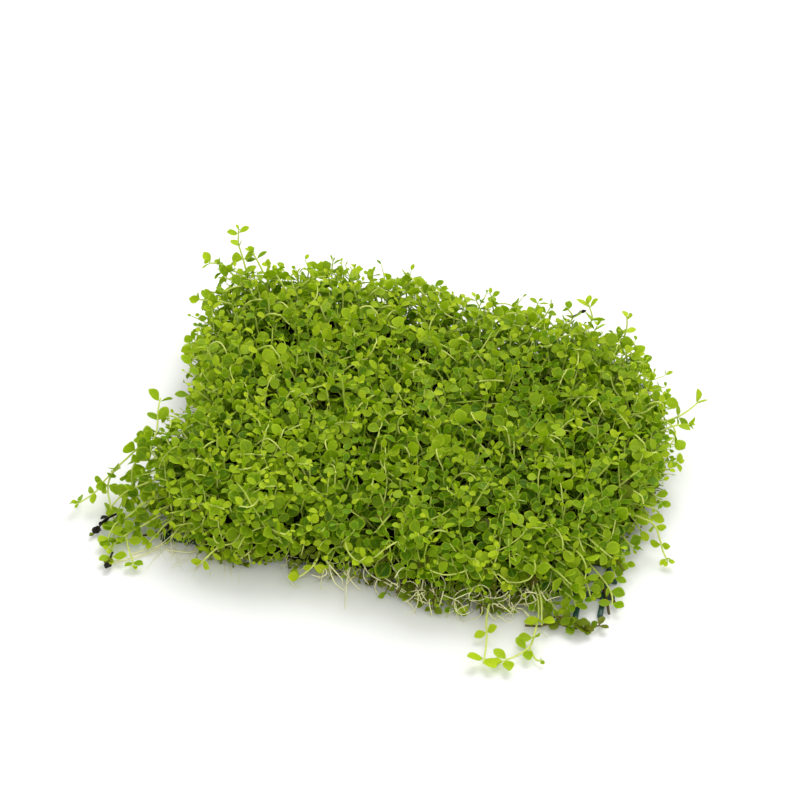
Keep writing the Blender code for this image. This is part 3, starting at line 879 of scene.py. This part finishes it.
# The stray shoots: main route first, then side branches. Each branch is a route, its number of
# leaf pairs, the lengths of its oldest and youngest leaves, and its age at the oldest pair.
SHOOTS = {
    "runner_left_long": [
        ([(-84, -35, 20), (-94.5, -31, 20), (-101.6, -37, 16), (-107.7, -43.8, 11),
          (-111, -46.9, 7), (-116.5, -50, 3.5)], 6, 6.1, 5.5, 0.5),
        ([(-88, -33, 20), (-94, -36, 19), (-98, -40, 15), (-96.7, -46.7, 7)], 4, 6.1, 5.3, 0.9),
        ([(-103, -39, 14), (-105.7, -41.2, 12), (-105.9, -46.8, 9), (-101.7, -55.5, 2.5)],
         3, 4.9, 4.2, 0.5),
        ([(-86, -44, 16), (-93, -46, 13), (-99, -48, 10), (-104, -52, 5)], 4, 5.8, 4.8, 0.8),
        ([(-80, -36, 20), (-85, -37, 20), (-91, -37.3, 18), (-97, -36.4, 16)], 4, 6.1, 5.6, 1.0),
        ([(-80, -40, 19), (-87.4, -40, 17), (-94, -41.8, 13), (-98.4, -44.8, 9),
          (-101, -52, 4)], 5, 5.5, 4.6, 0.9),
    ],
    "runner_left_upper": [
        ([(-84, -44, 17), (-87.3, -40, 20), (-91.7, -35.8, 22), (-91.2, -28.3, 25),
          (-92.4, -21.7, 28), (-92.8, -16, 30)], 4, 5.5, 5.5, 0.5),
        ([(-76, -30.5, 22), (-82, -22.5, 24), (-86.2, -21, 26), (-90, -22, 27)], 3, 4.8, 4.0, 0.6),
        ([(-84, -27, 20), (-91, -24, 20), (-96, -26, 18)], 3, 5.6, 4.9, 0.8),
        ([(-80, -36, 19), (-88.7, -34.1, 22), (-93.5, -32, 23)], 3, 6.0, 5.5, 0.9),
    ],
    "runner_left_hanging": [
        ([(-84, -46, 12), (-92.5, -51.5, 8), (-97.2, -57.4, 4), (-99.5, -64, 2.2),
          (-97, -75.5, 1.8)], 6, 5.8, 5.3, 0.6),
        ([(-76, -39, 17), (-81.4, -41.6, 15), (-88.9, -43, 11), (-94.4, -47.4, 8)],
         4, 6.1, 5.3, 0.9),
        ([(-86, -48, 10), (-90, -51, 8), (-93.9, -58.4, 4), (-94, -65.6, 3), (-88.3, -77, 2)],
         5, 4.9, 4.8, 0.5),
        ([(-74, -42, 16), (-83, -45.3, 13), (-88, -48.4, 10), (-91, -52, 7)], 4, 5.8, 5.1, 0.9),
        ([(-74, -49, 12), (-80.8, -52.6, 10), (-85.6, -53.5, 7), (-90, -56, 5)],
         4, 5.3, 4.6, 0.8),
        ([(-74, -52, 9), (-80.6, -58.1, 7), (-83.5, -60.8, 4), (-86, -65, 2.5)],
         4, 5.1, 4.4, 0.7),
        ([(-90, -50, 9), (-95.4, -56, 6.5), (-99.7, -60.2, 5), (-101, -66.3, 3)],
         4, 5.3, 5.1, 0.7),
        ([(-84, -54, 7), (-89.7, -59.1, 5), (-94, -62.6, 4), (-99.3, -70.3, 2.6)],
         5, 5.5, 4.9, 0.5),
    ],
    "shoot_back_left_tall": [
        ([(-80, 70, 24), (-83.5, 76.5, 28), (-85.6, 79, 33), (-85.4, 79.5, 39)],
         3, 5.6, 5.4, 0.4),
        ([(-84, 66, 26), (-90, 69, 29), (-95, 68, 30)], 3, 5.0, 4.4, 0.4),
        ([(-74, 72, 25), (-78, 76, 29), (-80, 77, 31)], 2, 5.2, 4.6, 0.5),
        ([(-76, 58, 26), (-82, 62, 27), (-87.5, 63.5, 27)], 3, 6.4, 5.6, 0.8),
        ([(-78, 64, 26), (-84, 67, 28), (-89.5, 68, 27)], 3, 6.0, 5.4, 0.4),
        ([(-80, 50, 25), (-88, 50, 26), (-95.5, 50.5, 25)], 4, 6.0, 5.2, 0.6),
    ],
    "shoot_back_right": [
        ([(54, 60, 22), (57, 65.5, 25), (57.4, 67, 27), (55.6, 69, 31)], 2, 7.6, 6.2, 0.3),
        ([(48, 60, 24), (50, 65, 27), (47.5, 66.5, 30)], 2, 5.0, 4.6, 0.5),
    ],
    "shoot_right_tall": [
        ([(69.6, 53.5, 22), (71.4, 56.2, 28), (72, 56.8, 32), (71.8, 57.2, 37)],
         2, 4.4, 4.4, 0.1),
    ],
    "runner_right_upper": [
        ([(88, 18, 18), (95, 23, 18), (99.5, 27, 19), (103.5, 32, 20.5)], 2, 5.2, 5.8, 0.4),
        ([(90, 14, 18), (96, 19, 18), (101, 23, 16)], 3, 4.8, 4.2, 0.4),
    ],
    "runner_right_front": [
        ([(88, -28, 13), (94.5, -31, 12.5), (97.4, -33.9, 8), (98.9, -35.7, 4.5),
          (101, -38.5, 2.6)], 3, 4.8, 4.4, 0.4),
        ([(88, 0, 14), (95, 1, 15), (99, 2, 15)], 3, 5.2, 4.4, 0.5),
    ],
    "runner_front_long": [
        ([(59.7, -82.2, 3), (59.5, -86.2, 2.8), (59, -91.1, 2.6), (55.5, -96.2, 2.5),
          (50.9, -100, 2.4)], 3, 6.6, 6.2, 0.15),
        ([(55, -66, 10), (58, -70, 7), (59.2, -73.6, 5), (59.8, -77.6, 4), (59.7, -82.2, 3)],
         1, 3.2, 3.2, 0.3),
        ([(57.3, -66, 9), (59.8, -72, 7), (60.8, -76.9, 5), (61.5, -81, 3.6)], 1, 6.0, 6.0, 0.15),
        ([(59, -92, 2.3), (62, -96.5, 1.8), (64.6, -97, 2.4)], 1, 1.8, 1.8, 0.6),
    ],
    "runner_front_short": [
        ([(41.8, -76, 5.5), (42, -83, 4), (43.3, -89.4, 3), (44, -96, 2.6),
          (44.3, -102.5, 2.4)], 2, 5.8, 6.2, 0.15),
    ],
    "shoot_front_young": [
        ([(-21.1, -65.1, 12), (-22.5, -70.7, 9), (-25.7, -73.3, 6), (-27.9, -74.8, 5)],
         2, 5.0, 6.6, 0.0),
    ],
    "runner_front_left": [
        ([(-56.3, -69.2, 12), (-60.6, -73.2, 9), (-63.6, -75.5, 6)], 2, 4.8, 4.6, 0.2),
    ],
}
# Shoots that lie loose, each with how far it has withered
DEAD_SHOOTS = {
    "dead_shoot_front": (0.30, [
        ([(55.4, -79.9, 1.2), (60.2, -79.6, 1.4)], 0, 4.0, 4.0, 1.0),
        ([(60.2, -79.6, 1.4), (66, -78.2, 2.6), (72, -78.6, 1.8), (77.3, -77.8, 2.2),
          (81.6, -75.6, 2)], 7, 4.8, 4.6, 1.0),
        ([(62, -78.6, 2), (66, -76.6, 4.4), (71, -76.6, 3.4), (76, -78.4, 2.0)],
         6, 4.4, 4.4, 0.9),
    ]),
    "dead_leaf_left": (1.0, [
        ([(-101, -53.5, 4), (-104.8, -57.4, 3.5), (-106.3, -60.8, 2), (-107.3, -62.8, 1.4)],
         5, 3.0, 3.2, 1.0),
    ]),
}
# Blackened leaves at the ends of living shoots
BLACKENED = {
    "runner_left_hanging": ([(-97.5, -72.5, 2.6), (-97.6, -75.2, 2.4), (-97.3, -77.6, 2.0)],
                            2, 4.6, 4.8, 1.0),
    "shoot_back_right": ([(50, 64.6, 27), (51.6, 65.6, 28), (53.0, 66.2, 28.6)],
                         2, 3.0, 3.0, 1.0),
}

# Shoots that sprawl over the bare end of the lattice and low over the edges, as branches
SPRAWLERS = [
    ([(56, -56, 18), (60, -62.9, 17), (65.3, -65.9, 15), (69.5, -67, 12), (72.5, -66, 10)],
     5, 6.0, 5.0, 0.8),
    ([(62, -50, 20), (67, -55, 19), (71.7, -58.4, 18), (74, -61, 15), (74, -63.5, 12)],
     5, 6.2, 5.2, 0.7),
    ([(68, -44, 20), (74, -50.6, 19), (78.7, -53, 17), (82.2, -52, 13)], 4, 5.8, 5.0, 0.7),
    ([(74, -40, 19), (80, -45, 17), (84, -46, 13)], 3, 5.8, 5.0, 0.9),
    ([(77, 11, 22), (82.5, 15.5, 24.5), (87, 20.5, 24.5), (90.5, 26, 25)], 3, 6.6, 5.4, 0.3),
    ([(56, -60, 9), (60, -66, 7), (63, -70, 5), (66, -73, 3.5)], 4, 5.0, 4.4, 0.8),
    ([(62, -56, 11), (67, -62, 9), (70, -66, 6.5), (72, -70, 4)], 4, 5.0, 4.2, 0.9),
    ([(50, -62, 9), (55, -68, 7), (58, -72, 5)], 3, 5.0, 4.0, 0.7),
    ([(66, -54, 11), (72, -58, 9), (75, -62, 7), (76.5, -65, 5)], 4, 4.8, 4.0, 0.8),
    ([(60, -58, 12), (65, -63, 11), (69, -66, 9)], 3, 5.4, 4.6, 0.9),
    ([(54, -62, 6), (59, -69, 4.5), (61, -73, 3)], 4, 4.4, 4.0, 1.0),
    ([(76, -38, 11), (81, -45, 9), (83.5, -50, 7)], 4, 4.8, 4.2, 0.8),
    ([(79, -34, 8), (84, -41, 7), (87, -46, 5)], 3, 4.4, 4.0, 0.8),
    ([(80, -44, 7), (82.5, -49, 5.5), (83.5, -53, 4)], 3, 4.6, 4.2, 0.9),
    ([(80, -22, 12), (86, -25, 9), (90, -29.5, 7)], 4, 5.8, 5.2, 0.8),
    ([(82, -16, 12), (88.5, -18.5, 9), (92.5, -22.5, 8)], 4, 5.6, 5.2, 0.7),
    ([(84, -10, 13), (91, -12, 11), (95.5, -15.7, 10)], 4, 5.2, 4.6, 0.6),
    ([(80, -30, 8), (85, -35, 7), (88.4, -37.7, 5.5)], 4, 5.0, 4.6, 0.9),
    ([(-56, -60, 13), (-57, -63.8, 10.5), (-54.5, -66.9, 8), (-54.1, -68.9, 5.5)],
     4, 4.8, 5.4, 0.1),
    ([(58, -60, 10), (64.3, -66, 9), (68.8, -67.6, 7), (72.1, -68.5, 5)], 4, 5.0, 4.0, 1.0),
    ([(72, -50, 9), (78.6, -55.7, 7), (82, -58.7, 5), (84, -62.5, 4), (84.4, -65.6, 3)],
     3, 4.6, 5.0, 0.5),
    ([(-68, -54, 9), (-74, -58, 8), (-77, -62.3, 6), (-78, -64.5, 4.5)], 3, 4.6, 3.4, 0.3),
    ([(-66, -54, 9), (-70, -58.9, 8), (-71.8, -61.8, 7), (-73, -64, 6)], 3, 4.6, 3.6, 0.2),
    ([(-66, -42, 16), (-70.4, -47.9, 16), (-72.1, -50.4, 15), (-73.5, -52.5, 14)],
     3, 5.0, 4.4, 0.2),
    ([(-40, -60, 12), (-45, -67, 10), (-48, -70, 8), (-50, -71.5, 7)], 4, 4.4, 3.6, 0.1),
]
# Cut and broken stems
STUBS = [
    [(78.4, -53.6, 4), (81.8, -61.9, 3), (83.9, -68.8, 1.5)],
    [(80.5, -58.5, 4), (84, -62, 3), (86.3, -65.2, 1.5)],
    [(81.5, -46.2, 9), (84, -48.3, 8), (86.6, -50.5, 6)],
    [(-78, -54, 6), (-83, -60, 4), (-89, -61.5, 2.5)],
]
# Thick roots that curl out of the front, and the longest of the fan at the left
ROOT_CURLS = [
    [(15.7, -72.1, 8.6), (18.3, -70.6, 10.6), (22.4, -69.5, 10.6), (25, -71.3, 8.6), (24.9, -74.5, 6.6),
     (24.4, -76.9, 4), (23.4, -78.3, 1.3)],
    [(17.3, -71, 9.6), (17.3, -72.8, 8.6), (17.5, -75.9, 6.6), (19.3, -76.8, 4), (20.8, -76.4, 2)],
    [(20, -70, 8.6), (20.7, -73.2, 7.6), (22.3, -75.6, 5.3), (22.3, -76.9, 2.6)],
    [(30, -72.2, 4), (32.3, -74.7, 5.3), (34.4, -75.6, 6.6), (37.5, -74.6, 7.6), (38.2, -71.9, 8.6)],
    [(45.4, -70, 8.6), (43.9, -72.2, 7.6), (43.4, -73.7, 4), (46.5, -74.3, 2.6), (49.2, -73.6, 2.6),
     (51.4, -72.6, 4), (52.6, -70.6, 6.6), (51.7, -68.8, 8.6)],
    [(48.5, -68.9, 9.6), (48.6, -71.9, 7.6), (48.7, -73.6, 5.3), (49.8, -74.7, 2.6), (50.5, -76.7, 1.3)],
    [(49.2, -73.2, 2.6), (53.5, -72.7, 2), (55.3, -74.7, 1.3), (57.2, -75.4, 1.3), (58.8, -74.8, 2)],
    [(53.6, -68.9, 7.6), (54.6, -72.5, 5.3), (56.4, -73.8, 4), (58.1, -73, 2.6)],
    [(53.9, -68.9, 8.6), (56.7, -70.9, 7.6), (57.8, -71.8, 5.3), (57.3, -74.2, 2.6)],
    [(59, -68, 7.6), (61.1, -70.6, 6.6), (63.3, -69.8, 4), (65.4, -70.9, 2), (66.4, -72.1, 1.3)],
    [(58, -69.2, 4), (61.1, -70.2, 5.3), (64.1, -69.5, 6.6), (67.5, -67.8, 6.6)],
    [(-23.4, -69, 7.6), (-21.2, -71.2, 6.6), (-19.3, -70, 6.6), (-18.2, -71.2, 5.3), (-20.2, -72.2, 4),
     (-23.9, -71.6, 4)],
    [(-20, -67, 9.6), (-17.8, -69.5, 8.6), (-14.5, -71.6, 6.6), (-12.4, -72, 4), (-12, -72.8, 2)],
    [(-18, -68, 6.6), (-16.6, -71, 5.3), (-14.6, -73, 2.6), (-10.9, -74.5, 1.3)],
    [(-11.1, -66.1, 7.6), (-10.2, -73.5, 5.3), (-9.8, -78, 1.3), (-9, -83.4, 0.7)],
    [(-10, -69, 7.6), (-10, -71.3, 5.3), (-7.3, -72.7, 2.6), (-4.9, -73.4, 1.3)],
    [(-4.9, -66, 7.6), (-4.9, -70, 5.3), (-2.8, -71.2, 2.6)],
    [(3.7, -66.4, 7.6), (0.6, -70.3, 5.3), (-0.2, -72.6, 2.6), (1.4, -73.9, 1.3)],
    [(-6, -66, 7.6), (-2.4, -70.2, 6.6), (4.8, -72.6, 5.3), (10.6, -74.3, 4), (16.4, -75.4, 2.6)],
    [(-4, -64, 8.6), (0.2, -69.6, 7.6), (6.4, -72.4, 5.9), (12.5, -74.6, 4)],
    [(28, -70, 7.6), (29, -74.8, 5.3), (27.9, -77.5, 1.3), (27.5, -81, 0.7)],
    [(32, -71, 7.6), (30.7, -74.6, 5.3), (31, -76.5, 2), (30.5, -79.3, 0.7)],
    [(-79, -66, 1), (-75.4, -66.3, 1.5), (-70.3, -65.9, 1.5), (-65.6, -63.9, 2.5),
     (-62.7, -60, 5)],
    [(-91.6, -70.5, 0.5), (-86.9, -67.2, 0.8), (-81.8, -64.8, 2), (-77.8, -60, 4)],
    [(-99.6, -75.9, 0.5), (-92.7, -73.5, 0.5), (-84.7, -68.1, 1), (-78.9, -62, 2)],
]


def fibre(growth, start, heading, length, girth, rng, curl=0.16, droop=0.10, wilt=0.0):
    """One root that curls out in slowly changing bends, sinks and lies along the surface."""
    steps = max(4, int(length * MM / ROOT_STEP))
    axis = wobble(rng, 1.0).normalized()
    place = start.copy()
    chain = [place.copy()]
    for _ in range(steps):
        axis = (axis + wobble(rng, 0.22)).normalized()
        heading = (heading + axis.cross(heading) * curl - UP * droop).normalized()
        place = place + heading * ROOT_STEP
        if place.z < girth * MM:
            place.z = girth * MM
            heading.z = abs(heading.z) * 0.2
        chain.append(place.copy())
    girths = [girth * MM * (1.0 - 0.6 * i / steps) for i in range(steps + 1)]
    growth.stem(chain, girths, 0.5, rng.random(), wilt)


def root_fringe(growth, reach, rng):
    """Fine roots all round the felt, thick curling ones along the front, a fan at the left."""
    for k in range(FINE_ROOTS):
        i = rng.randrange(*FRONT_SIDES) if k % 3 else rng.randrange(SKIN_SIDES)
        out = direction_at(i)
        start = out * (reach[i] - rng.uniform(3.0, 9.0) * MM) + UP * rng.uniform(1.5, 8.0) * MM
        fibre(growth, start, (out + wobble(rng, 0.6)).normalized(), rng.uniform(3, 9),
              rng.uniform(0.09, 0.16), rng, rng.uniform(0.1, 0.35),
              wilt=0.6 if rng.random() < 0.12 else 0.0)
    for k in range(CURLY_ROOTS):
        i = rng.randrange(*(CURLY_SIDES if k % 4 else FRONT_SIDES))
        out = direction_at(i)
        start = out * (reach[i] + rng.uniform(-1.0, 3.0) * MM) + UP * rng.uniform(3.0, 12.0) * MM
        heading = (out * 0.4 + UP * rng.uniform(-0.4, 0.9) + wobble(rng, 0.7)).normalized()
        fibre(growth, start, heading, rng.uniform(7, 15), rng.uniform(0.18, 0.30), rng,
              rng.uniform(0.2, 0.42), 0.07)
    for _ in range(FAN_ROOTS):
        start = Vector((rng.uniform(-82, -52), rng.uniform(-62, -56), rng.uniform(1, 5))) * MM
        heading = Vector((rng.uniform(-0.5, 0.9), -1.0, -0.2)).normalized()
        fibre(growth, start, heading, rng.uniform(9, 20), rng.uniform(0.09, 0.17), rng, 0.10)
    for route in ROOT_CURLS:
        chain = smooth_route(route)
        thick = rng.uniform(0.30, 0.42) * MM
        girths = [thick * (1 - 0.5 * i / len(chain)) for i in range(len(chain))]
        growth.stem(chain, girths, 0.3, rng.random() * 0.6)


def felt_body(reach):
    """The felt itself: a slab with a lumpy torn edge."""
    low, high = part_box("root_mat")
    lumps, lump_height = FELT_LUMPS
    bm = bmesh.new()
    rings = []
    sides = SKIN_SIDES * 2
    for size, level, lumpy in FELT_PROFILE:
        ring = []
        for i in range(sides):
            angle = 2 * math.pi * i / sides
            out = Vector((math.cos(angle), math.sin(angle), 0.0))
            span = (reach[i // 2] + reach[(i + 1) // 2 % SKIN_SIDES]) / 2
            place = out * (span - FELT_INSET) * size
            bump = noise.noise(Vector((place.x, place.y, level)) * lumps)
            place += out * lumpy * lump_height * bump
            height = low[2] + (high[2] - low[2]) * level
            ring.append(bm.verts.new((place.x, place.y, height)))
        rings.append(ring)
    for lower, upper in zip(rings, rings[1:]):
        for i in range(sides):
            j = (i + 1) % sides
            bm.faces.new((lower[i], lower[j], upper[j], upper[i]))
    bm.faces.new(rings[0][::-1])
    bm.faces.new(rings[-1])
    bmesh.ops.recalc_face_normals(bm, faces=bm.faces)
    mesh = bpy.data.meshes.new("felt")
    bm.to_mesh(mesh)
    bm.free()
    return mesh


# ---------------------------------------------------------------- pieces

def bench_piece(piece, node):
    """Hands a finished piece to the frame in place of its CAD solid."""
    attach(piece, "root")
    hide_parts(node)


def rounded_lattice(finish):
    """The lattice with its moulded edges and the fillets at its crossings rounded."""
    source = frame["nodes"]["support_grid"]
    mesh = source.data.copy()
    mesh.materials.clear()
    bm = bmesh.new()
    bm.from_mesh(mesh)
    bmesh.ops.remove_doubles(bm, verts=bm.verts, dist=0.01 * MM)
    bmesh.ops.dissolve_limit(bm, angle_limit=math.radians(1), verts=bm.verts, edges=bm.edges,
                             delimit={"NORMAL"})
    bm.to_mesh(mesh)
    bm.free()
    mesh.materials.append(finish)
    plan = bpy.data.objects.new("lattice_plan", mesh)
    bpy.context.scene.collection.objects.link(plan)
    bevel = plan.modifiers.new("rounding", "BEVEL")
    bevel.width = 0.5 * MM
    bevel.segments = 2
    bevel.limit_method = "ANGLE"
    bevel.angle_limit = math.radians(40)
    for face in mesh.polygons:
        face.use_smooth = True
    bench_piece(plain_piece("moulded_lattice", plan), "support_grid")


def nearest_tuft(place, centres):
    """The tuft whose middle is closest to a place."""
    return min(centres, key=lambda name: (centres[name] - place.to_2d()).length_squared)


TUFTS = sorted(name for name in frame["nodes"] if name.startswith("tuft_"))


def build_tufts(tree, shapes, skin, reach, tips, leaf, stem):
    """Everything that grows on the mat itself, shared out among its tufts."""
    centres = {}
    for name in TUFTS:
        low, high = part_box(name)
        centres[name] = Vector(((low[0] + high[0]) / 2, (low[1] + high[1]) / 2))
    growths = {name: Growth() for name in TUFTS}
    crowd = Crowd(LEAF_GAP)
    rng = random.Random(21)
    for place, _ in rng.sample(tips, CREEPERS):
        creeper(growths[nearest_tuft(place, centres)], skin, place, rng)
    for place, facing in tips:
        tip_shoot(growths[nearest_tuft(place, centres)], place, facing, reach, rng)
    for branch in SPRAWLERS:
        runner(growths[nearest_tuft(Vector(branch[0][0]) * MM, centres)], branch, rng)
    for _ in range(DYING_SHOOTS):
        branch = dying_shoot(reach, rng)
        runner(growths[nearest_tuft(branch[0][0] * MM, centres)], branch, rng,
               rng.uniform(0.06, 0.34))
    for route in STUBS:
        chain = smooth_route(route)
        growth = growths[nearest_tuft(chain[0], centres)]
        growth.stem(chain, [STUB_GIRTH] * len(chain), 1.0, rng.random(), rng.uniform(0.4, 1.0))
    for name, growth in growths.items():
        growth.place_leaves(crowd)
        piece = growth.as_object(name.replace("tuft", "leaves"), tree, shapes, 5, leaf, stem)
        bench_piece(piece, name)


def build_shoots(tree, shapes, leaf, stem):
    """The stray shoots and the loose dead ones, each with its own random draws."""
    plans = [(name, "shoots", 0.0, branches) for name, branches in SHOOTS.items()]
    plans += [(name, "dead_plant", wilt, branches)
              for name, (wilt, branches) in DEAD_SHOOTS.items()]
    for name, slot, wilt, branches in plans:
        rng = random.Random(name)
        growth = Growth()
        for branch in branches:
            runner(growth, branch, rng, wilt)
        if name in BLACKENED:
            runner(growth, BLACKENED[name], rng, 1.0)
        growth.place_leaves()
        piece = growth.as_object(name + "_grown", tree, shapes, 8, leaf, stem)
        bench_piece(piece, name)


def build_felt(tree, shapes, reach, felt, root):
    """The felt and every root in one piece."""
    growth = Growth()
    root_fringe(growth, reach, random.Random(8))
    piece = growth.as_object("root_felt", tree, shapes, 3, root, root)
    piece.data.materials.clear()
    piece.data.materials.append(root)
    piece.data.materials.append(felt)
    bm = bmesh.new()
    bm.from_mesh(piece.data)
    fibres = len(bm.faces)
    bm.from_mesh(felt_body(reach))
    for i, face in enumerate(bm.faces):
        face.material_index = 0 if i < fibres else 1
    bm.to_mesh(piece.data)
    bm.free()
    bench_piece(piece, "root_mat")


# ---------------------------------------------------------------- stage

def build_stage():
    """A wide plain floor."""
    mesh = bpy.data.meshes.new("floor")
    half = FLOOR_HALF
    mesh.from_pydata([(-half, -half, 0), (half, -half, 0), (half, half, 0), (-half, half, 0)],
                     [], [(0, 1, 2, 3)])
    mesh.materials.append(floor_finish())
    floor = bpy.data.objects.new("floor", mesh)
    bpy.context.scene.collection.objects.link(floor)


def area_light(name, place, size, energy):
    """A round lamp that shines at the origin."""
    data = bpy.data.lights.new(name, "AREA")
    data.shape = "DISK"
    data.size = size
    data.energy = energy
    light = bpy.data.objects.new(name, data)
    light.location = place
    light.rotation_euler = (-Vector(place)).to_track_quat("-Z", "Y").to_euler()
    bpy.context.scene.collection.objects.link(light)


def build_light():
    """An even white sky, a lamp from behind and a weaker one from the front."""
    world = bpy.data.worlds.new("soft_white")
    world.use_nodes = True
    sky = world.node_tree.nodes["Background"]
    sky.inputs["Color"].default_value = (1.0, 1.0, 1.0, 1.0)
    sky.inputs["Strength"].default_value = SKY_STRENGTH
    bpy.context.scene.world = world
    for lamp in LAMPS:
        area_light(*lamp)


def build_camera():
    """The camera, turned a little to the right and looking well down."""
    scene = bpy.context.scene
    backwards = Vector((math.sin(CAMERA_TURN) * math.cos(CAMERA_RISE),
                        -math.cos(CAMERA_TURN) * math.cos(CAMERA_RISE), math.sin(CAMERA_RISE)))
    data = bpy.data.cameras.new("camera")
    data.lens = CAMERA_LENS
    data.sensor_width = SENSOR_WIDTH
    camera = bpy.data.objects.new("camera", data)
    camera.location = CAMERA_TARGET + backwards * CAMERA_DISTANCE
    camera.rotation_euler = (-backwards).to_track_quat("-Z", "Y").to_euler()
    scene.collection.objects.link(camera)
    scene.camera = camera
    scene.view_settings.view_transform = "Standard"


def remove_shapes(shapes):
    """Clears away a collection of leaf shapes once everything has grown."""
    for helper in list(shapes.objects):
        bpy.data.meshes.remove(helper.data)
    bpy.data.collections.remove(shapes)


def main():
    """Sets the stage, grows the mat from the outline of its tufts, and clears up."""
    build_camera()
    build_light()
    build_stage()
    leaf = leaf_finish()
    stem = stem_finish()
    reach = measure_reach()
    points, faces = skin_mesh(reach)
    skin = BVHTree.FromPolygons(points, faces)
    tips = scatter_tips(points, faces, random.Random(5))
    tree = growing_tree()
    coarse = leaf_shapes(3)
    fine = leaf_shapes(5)
    build_tufts(tree, coarse, skin, reach, tips, leaf, stem)
    build_shoots(tree, fine, leaf, stem)
    build_felt(tree, fine, reach, felt_and_painted_shade_finish(), root_finish())
    rounded_lattice(plastic_finish())
    remove_shapes(coarse)
    remove_shapes(fine)
    bpy.data.node_groups.remove(tree)


main()
